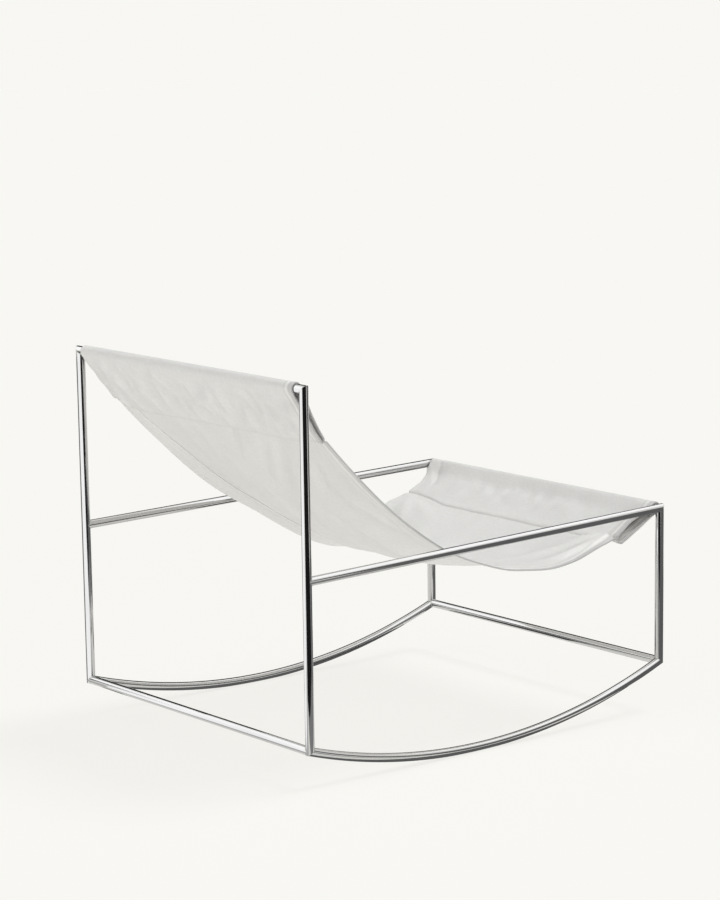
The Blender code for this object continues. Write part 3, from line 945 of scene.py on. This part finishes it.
for start, end, width, height in RIDGES:
    puff[on_panel] += ridge(panel_run, x_flat, start, end, width, height)
slack = hang * (1 - CALM * smooth_step(*CALM_PART, share))[:, None]
for waves in PANEL_WAVES:
    puff[on_panel] += slack * noise_field(panel_run, x_flat, *waves)
puff[on_panel] += slack * crease_field(panel_run, x_flat, *PANEL_CREASES)
near_sleeve = np.exp(-np.minimum(panel_run, PANEL_LENGTH - panel_run) / SLEEVE_FADE)[:, None]
puff[on_panel] += near_sleeve * noise_field(panel_run, x_flat, *SLEEVE_WAVES)
print(f"panel folds up to {1000 * np.abs(puff).max():.1f} mm")

# %% [markdown]
# The sleeves have folds of their own. A flap is loose between the bar and its seam, so it puckers most in
# the middle. The seat sleeve drops steeply behind its bar to a crease. Its left end is gathered against the
# corner of the frame, with one short fold. Every row of stitches draws a groove.

# %% Puckers, crease and grooves
# Noise of the flaps and the gathers, written as for the panel.
FLAP_WAVES = [(0.0074, 0.026, 0.042, 1.9), (0.0040, 0.015, 0.024, 6.2)]
FLAP_CREASES = (0.0080, 0.032, 0.046, 9.4)
GATHER_WAVES = (0.0026, 0.018, 0.026, 7.7)
# Puckers stand up more than they sink, lie flatter near the hems, and are low where the cloth is tight.
PUCKER_LEVEL = 0.00185
FLAP_FLOOR, FLAP_RISE = -0.0008, 0.0012
FLAP_FULLNESS = 0.6
FLAT_ENDS, FLAT_SHARE = (0.250, 0.295), 0.85
PULLED_TIGHT = 0.3
# The crease behind the seat bar fades at its right end and is deeper at its left end.
CREASE_DEPTH = 0.0080
CREASE_LIP, LIP_WIDTH = 0.0008, 0.0035
RIGHT_CREASE_END, LEFT_CREASE_END = (-0.255, -CUT_HALF), (0.220, 0.280)
LEFT_CREASE_GAIN = 0.5
# The gathers, and the short fold beside them: where they come and go across the cloth and behind the bar.
GATHER_ACROSS = (1.0, (0.245, 0.275), (0.298, 0.310))
GATHER_BEHIND = (1.0, (0.00, 0.02), (0.05, 0.10))
FOLD_PLACE, FOLD_SLANT = 0.271, 0.2
FOLD_DEPTH, FOLD_WIDTH = 0.0026, 0.004
FOLD_FADE = (0.04, 0.09)
SEAM_GROOVE, GROOVE_WIDTH = 0.0034, 0.0026
STITCH_LINES = (0.0105, 0.0280)
STITCH_PINCH, PINCH_WIDTH = 0.0006, 0.0024

for name, flap in (("back_flap", True), ("back_top", False), ("seat_top", False), ("seat_flap", True)):
    rows = np.flatnonzero(zone == name)
    share = (run[rows] - run[rows[0]]) / (run[rows[-1]] - run[rows[0]])
    loose = np.sin(np.pi * share)[:, None] * (1 - FLAT_SHARE * smooth_step(*FLAT_ENDS, np.abs(x_flat)))
    pucker = PUCKER_LEVEL + crease_field(run[rows], x_flat, *FLAP_CREASES)
    for waves in FLAP_WAVES:
        pucker += noise_field(run[rows], x_flat, *waves)
    if flap:
        puff[rows] += loose ** FLAP_FULLNESS * (np.maximum(pucker, FLAP_FLOOR) + FLAP_RISE)
    else:
        puff[rows] += PULLED_TIGHT * loose * pucker

seat_top = zone == "seat_top"
from_bar = from_seat_bar[seat_top][:, None]
dip = np.where(from_bar < CREASE, from_bar / CREASE, (SLEEVE_LENGTH - from_bar) / (SLEEVE_LENGTH - CREASE))
crease_part = (1 - smooth_step(*RIGHT_CREASE_END, x_flat)
               + LEFT_CREASE_GAIN * smooth_step(*LEFT_CREASE_END, x_flat))
puff[seat_top] += (CREASE_LIP * crest(from_bar - CREASE, LIP_WIDTH) - CREASE_DEPTH * dip) * crease_part
gather = bump(x_flat, *GATHER_ACROSS) * bump(from_bar, *GATHER_BEHIND)
puff[seat_top] += gather * noise_field(run[seat_top], x_flat, *GATHER_WAVES)
fold = crest(x_flat - FOLD_PLACE + FOLD_SLANT * from_bar, FOLD_WIDTH)
puff[seat_top] -= FOLD_DEPTH * fold * (1 - smooth_step(*FOLD_FADE, from_bar))

from_back_seam = run[:, None] - BACK_SEAM - back_seam_at(x_flat)
from_seat_seam = SEAT_SEAM - run[:, None] - seat_seam_at(x_flat)
puff -= SEAM_GROOVE * (crest(from_back_seam, GROOVE_WIDTH) + crest(from_seat_seam, GROOVE_WIDTH))
from_edge = CUT_HALF - np.abs(x_flat)
pinch = STITCH_PINCH * sum(crest(from_edge - place, PINCH_WIDTH) for place in STITCH_LINES)
puff -= pinch
print(f"folds up to {1000 * np.abs(puff).max():.1f} mm")

# %% [markdown]
# ## The canvas
#
# The cloth is a plain weave of off-white cotton with thick and thin places in its yarn and a fine mottling.
# The weave follows the cut: a UV map holds the flat cut in metres, so threads keep their size on every fold.
# The weave could be a picture, but two waves multiplied give its grid, and stretched noise gives the uneven
# yarn both ways. The hems carry painted light and shade: their folded edges are painted grey as shade, the
# right one is painted darker near its edge with a painted highlight line and a painted shade line along it,
# the edge turned inside has a painted highlight, and the doubled cloth is painted lighter.

# %% Canvas
CANVAS_COLOUR = (0.71, 0.703, 0.675)
DARKER, LIGHTER = (0.680, 0.675, 0.660, 1), (0.765, 0.760, 0.742, 1)
WARP_PITCH, WEFT_PITCH = 0.0011, 0.0013
# Noise in the yarn and the cloth: how many spots to a metre, across and along the cut.
WARP_SLUBS, WEFT_SLUBS = (1100, 28, 1), (24, 900, 1)
CLOUDS, MOTTLE = (14, 10, 1), (230, 150, 1)
SLUB_WEIGHT, CLOUD_WEIGHT, WEAVE_WEIGHT, MOTTLE_WEIGHT = 0.40, 0.35, 0.05, 0.60
TONE_RANGE = (0.63, 1.13)
# Flat places of a hem's fold and of the edge turned inside.
HEM_FOLD = CUT_HALF + HEM_LAYER * math.pi / 4
INNER_EDGE = CUT_HALF + HEM_WIDTH + HEM_LAYER * math.pi / 2
# Painted light and shade at the hems: two distances in metres, and the change at each of them.
PAINTED_HEM_LIGHT = (CUT_HALF - HEM_WIDTH - 0.001, CUT_HALF - HEM_WIDTH + 0.001, 0.0, 0.15)
PAINTED_EDGE_SHADE = (0.0010, 0.0022, -2.5, 0.0)
PAINTED_RIGHT_EDGE_SHADE = (0.0100, 0.0135, -1.6, 0.0)
PAINTED_INNER_EDGE_HIGHLIGHT = (INNER_EDGE - 0.0045, INNER_EDGE - 0.0015, 0.0, 0.9)
# A painted highlight line and a painted shade line along the right hem: distance from the edge, and how much
# lighter or darker.
PAINTED_RIGHT_HEM_LINES = ((0.0160, 0.65), (0.0212, -0.75))
HEM_LINE_EDGE = (0.0010, 0.0026)


def canvas():
    material, tree, shader = principled("off_white_canvas", CANVAS_COLOUR, 0.92)
    shader.inputs["Sheen Weight"].default_value = 0.12
    shader.inputs["Sheen Roughness"].default_value = 0.5
    shader.inputs["Specular IOR Level"].default_value = 0.25
    cut = add(tree, "ShaderNodeUVMap", uv_map="cut").outputs[0]
    spot = add(tree, "ShaderNodeSeparateXYZ", [(0, cut)]).outputs

    def thread(value, pitch):
        turn = product(tree, value, 2 * math.pi / pitch)
        return add(tree, "ShaderNodeMath", [(0, turn)], operation="SINE").outputs[0]

    weave = product(tree, thread(spot[0], WARP_PITCH), thread(spot[1], WEFT_PITCH))
    slubs = sum_of(tree, cloudy(tree, cut, WARP_SLUBS, 3.0), cloudy(tree, cut, WEFT_SLUBS, 3.0))
    clouds = cloudy(tree, cut, CLOUDS, 3.0)
    mottle = cloudy(tree, cut, MOTTLE, 2.0)
    tone = sum_of(tree, product(tree, slubs, SLUB_WEIGHT), product(tree, clouds, CLOUD_WEIGHT),
                  product(tree, weave, WEAVE_WEIGHT), product(tree, mottle, MOTTLE_WEIGHT))

    aside = distance_from(tree, spot[0], 0.0)
    # Painted light: the doubled cloth of the hems is painted lighter, for the light that two layers let
    # through less than one.
    painted_hem_light = mapped(tree, aside, *PAINTED_HEM_LIGHT)
    # Painted shade: a thin dark line along each folded edge of the hems.
    painted_edge_shade = mapped(tree, distance_from(tree, aside, HEM_FOLD), *PAINTED_EDGE_SHADE)
    from_right = distance_from(tree, spot[0], -HEM_FOLD)
    # Painted shade on the right hem's outer band, then a painted highlight line and a painted shade line
    # along it.
    painted_right_hem_light_and_shade = mapped(tree, from_right, *PAINTED_RIGHT_EDGE_SHADE)
    for place, change in PAINTED_RIGHT_HEM_LINES:
        from_line = distance_from(tree, from_right, place)
        painted_right_hem_light_and_shade = sum_of(tree, painted_right_hem_light_and_shade, mapped(tree, from_line, *HEM_LINE_EDGE, change, 0.0))
    # Painted highlight along the edge that was turned inside.
    painted_inner_edge_highlight = mapped(tree, aside, *PAINTED_INNER_EDGE_HIGHLIGHT)
    shade = sum_of(tree, mapped(tree, tone, *TONE_RANGE, 0.0, 1.0), painted_hem_light, painted_edge_shade, painted_right_hem_light_and_shade, painted_inner_edge_highlight)
    mix = add(tree, "ShaderNodeMix", data_type="RGBA", clamp_factor=False)
    tree.links.new(shade, mix.inputs["Factor"])
    mix.inputs["A"].default_value = DARKER
    mix.inputs["B"].default_value = LIGHTER
    tree.links.new(mix.outputs["Result"], shader.inputs["Base Color"])
    bumped(tree, shader, sum_of(tree, product(tree, weave, 0.5), slubs), 0.35, 0.00025)
    return material


CANVAS = canvas()

# %% [markdown]
# ## The sheet
#
# The sheet is a grid of points along the line and across the cloth. The end of each flap is first brought to
# its seam, just under the panel. Each side edge turns under into a hem: the grid goes on round the edge and
# comes back below. The Solidify modifier then gives the cloth its thickness.

# %% The sheet and its hems
TURN_STEPS = 3
HEM_TUCK, TUCK_POWER = 0.0010, 6
HEM_BLEND = 0.006
CORNER_DROOP, DROOP_PART = (-0.011, 0.0, -0.004), (-0.262, -CUT_HALF)

along = np.gradient(line, axis=0)
along /= np.linalg.norm(along, axis=1)[:, None]
upper = -np.cross(np.array(LEFT), along)
sheet = (line[:, None, :] + np.array(LEFT) * x[:, :, None] + np.array(UP) * lift[:, :, None]
         + upper[:, None, :] * puff[:, :, None])


def faces_below(points):
    """The direction out of the lower face at every point of a grid."""
    out = np.cross(np.gradient(points, axis=1), np.gradient(points, axis=0))
    return out / np.linalg.norm(out, axis=2)[:, :, None]


def at_lengths(field, wanted):
    """Values on the sheet at one length along the cloth for each column."""
    return np.stack([on_line(field[:, column], run, wanted[column]) for column in range(len(x_flat))])


below = faces_below(sheet)
hem_share = smooth_step(HEM_WIDTH + HEM_BLEND, HEM_WIDTH - HEM_BLEND, from_edge)
flap_depth = (FLAP_GAP + 2 * HEM_LAYER * hem_share)[:, None]
for name, end_row, from_bar, sewn in (
        ("back_flap", 0, from_back_bar, BACK_SEAM + back_seam_at(x_flat)),
        ("seat_flap", -1, from_seat_bar, SEAT_SEAM - seat_seam_at(x_flat))):
    rows = np.flatnonzero(zone == name)
    target = at_lengths(sheet, sewn) + at_lengths(below, sewn) * flap_depth
    if name == "seat_flap":
        target += smooth_step(*DROOP_PART, x_flat)[:, None] * np.array(CORNER_DROOP)
    moved = target - sheet[end_row]
    sheet[rows] += (from_bar[rows] / from_bar[end_row])[:, None, None] * moved
below = faces_below(sheet)


def hem(edge, inward):
    """Columns that turn under at an edge of the sheet and come back along it, with their flat places."""
    outward = np.array(LEFT) * -inward
    places, columns = [], []
    for step in range(1, TURN_STEPS + 1):
        turn = math.pi * step / (TURN_STEPS + 1)
        columns.append(sheet[:, edge] + outward * math.sin(turn) * HEM_LAYER / 2
                       + below[:, edge] * (1 - math.cos(turn)) * HEM_LAYER / 2)
        places.append(x_flat[edge] - inward * turn * HEM_LAYER / 2)
    for step in range(HEM_STEPS + 1):
        column = edge + inward * step
        tuck = (HEM_LAYER - HEM_TUCK) * (step / HEM_STEPS) ** TUCK_POWER
        depth = HEM_LAYER - max(2 * pinch[column], tuck)
        columns.append(sheet[:, column] + below[:, column] * depth)
        places.append(2 * x_flat[edge] - x_flat[column] - inward * math.pi * HEM_LAYER / 2)
    return columns, places


right_columns, right_places = hem(0, 1)
left_columns, left_places = hem(len(x_flat) - 1, -1)
columns = right_columns[::-1] + list(np.swapaxes(sheet, 0, 1)) + left_columns
places = right_places[::-1] + list(x_flat) + left_places
count = len(columns)
corner_steps = (0, 1, count + 1, count)
faces = [tuple(row * count + column + step for step in corner_steps)
         for row in range(len(line) - 1) for column in range(count - 1)]

cloth = mesh_object("canvas_sling", np.stack(columns, axis=1).reshape(-1, 3), faces, CANVAS)
cut_map = cloth.data.uv_layers.new(name="cut")
for loop in cloth.data.loops:
    row, column = divmod(loop.vertex_index, count)
    cut_map.data[loop.index].uv = (places[column], run[row])
cloth.data.shade_smooth()
thickness = cloth.modifiers.new("cloth thickness", "SOLIDIFY")
thickness.thickness = CLOTH
thickness.offset = 0

# %% [markdown]
# ## Stitches
#
# Two rows of lockstitch hold each hem and each seam. A row could be a texture, but thread catches the light
# and shows on the edge, so each stitch is a tiny capsule. The tree walks along a row, sets a capsule at each
# step and turns it along the row.

# %% Geometry Nodes tree for a row of stitches
STITCH = {"Pitch": 0.0036, "Stitch Length": 0.0028, "Thread": 0.0006}


def stitch_tree():
    inputs = [(label, "NodeSocketFloat", size) for label, size in STITCH.items()]
    tree, sockets = new_tree("stitches", inputs + [("Finish", "NodeSocketMaterial", None)])
    steps = add(tree, "GeometryNodeResampleCurve",
                [("Curve", sockets["Geometry"]), ("Length", sockets["Pitch"])], mode="LENGTH").outputs[0]
    tangent = add(tree, "GeometryNodeInputTangent").outputs[0]
    turn = add(tree, "FunctionNodeAlignRotationToVector", [("Vector", tangent)], axis="Z").outputs[0]
    ball = add(tree, "GeometryNodeMeshUVSphere", [("Segments", 6), ("Rings", 4), ("Radius", 0.5)]).outputs[0]
    size = add(tree, "ShaderNodeCombineXYZ", [
        (0, sockets["Thread"]), (1, sockets["Thread"]), (2, sockets["Stitch Length"])]).outputs[0]
    stitches = add(tree, "GeometryNodeInstanceOnPoints", [
        ("Points", steps), ("Instance", ball), ("Rotation", turn), ("Scale", size)]).outputs[0]
    smooth = add(tree, "GeometryNodeSetShadeSmooth", [("Geometry", stitches)]).outputs[0]
    return finish_tree(tree, smooth, sockets["Finish"])


def sewing_thread():
    material, tree, shader = principled("sewing_thread", (0.74, 0.73, 0.70), 0.6)
    place = add(tree, "ShaderNodeTexCoord").outputs["Object"]
    fuzz = cloudy(tree, place, (2600, 2600, 2600), 2.0)
    tree.links.new(mapped(tree, fuzz, 0.0, 1.0, 0.5, 0.8), shader.inputs["Roughness"])
    bumped(tree, shader, fuzz, 0.3, 0.0001)
    return material


STITCH_TREE = stitch_tree()
THREAD = sewing_thread()

# %% Sew the hems and the seams
SEAM_ROWS = (0.003, 0.009)
SEAM_POINTS = 560
THREAD_SINK = 0.00005


def on_cloth(distances, flat_places, depth):
    """Points at lengths along the cloth and flat places across, on its upper (-) or lower (+) face."""
    found = []
    row_numbers = np.interp(distances, run, np.arange(len(run)))
    column_numbers = np.interp(flat_places, x_flat, np.arange(len(x_flat)))
    for row, column in zip(row_numbers, column_numbers):
        r, c = min(int(row), len(run) - 2), min(int(column), len(x_flat) - 2)
        fr, fc = row - r, column - c
        weights = np.array([[(1 - fr) * (1 - fc), (1 - fr) * fc], [fr * (1 - fc), fr * fc]])[:, :, None]
        surface = sheet[r:r + 2, c:c + 2] + below[r:r + 2, c:c + 2] * depth
        found.append((weights * surface).sum(axis=(0, 1)))
    return found


def sew(name, rows):
    """One piece of sewing from several rows of points."""
    piece = grown(name, line_object(name + "_line", rows), STITCH_TREE, {**STITCH, "Finish": THREAD})
    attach(piece, "root")
    return piece


face = CLOTH / 2 + THREAD_SINK
hem_lines, seam_lines = [], []
for side in (-1, 1):
    for gap in STITCH_LINES:
        place = np.full(len(run), side * (CUT_HALF - gap))
        under = HEM_LAYER - 2 * np.interp(gap, from_edge[:HEM_STEPS], pinch[:HEM_STEPS]) + face
        hem_lines += [on_cloth(run, place, -face), on_cloth(run, place, under)]
seam_places = np.linspace(-1, 1, SEAM_POINTS) * (CUT_HALF - HEM_LAYER)
for gap in SEAM_ROWS:
    for distances in (np.full(SEAM_POINTS, gap), np.full(SEAM_POINTS, CUT_LENGTH - gap),
                      BACK_SEAM + back_seam_at(seam_places) - gap,
                      SEAT_SEAM - seat_seam_at(seam_places) + gap):
        seam_lines.append(on_cloth(distances, seam_places, -face))
hem_stitches = sew("hem_stitches", hem_lines)
seam_stitches = sew("seam_stitches", seam_lines)
print(len(hem_stitches.data.polygons), "and", len(seam_stitches.data.polygons), "faces of thread")

# %% Tell the frame about the sling
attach(cloth, "root")
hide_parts("sling")
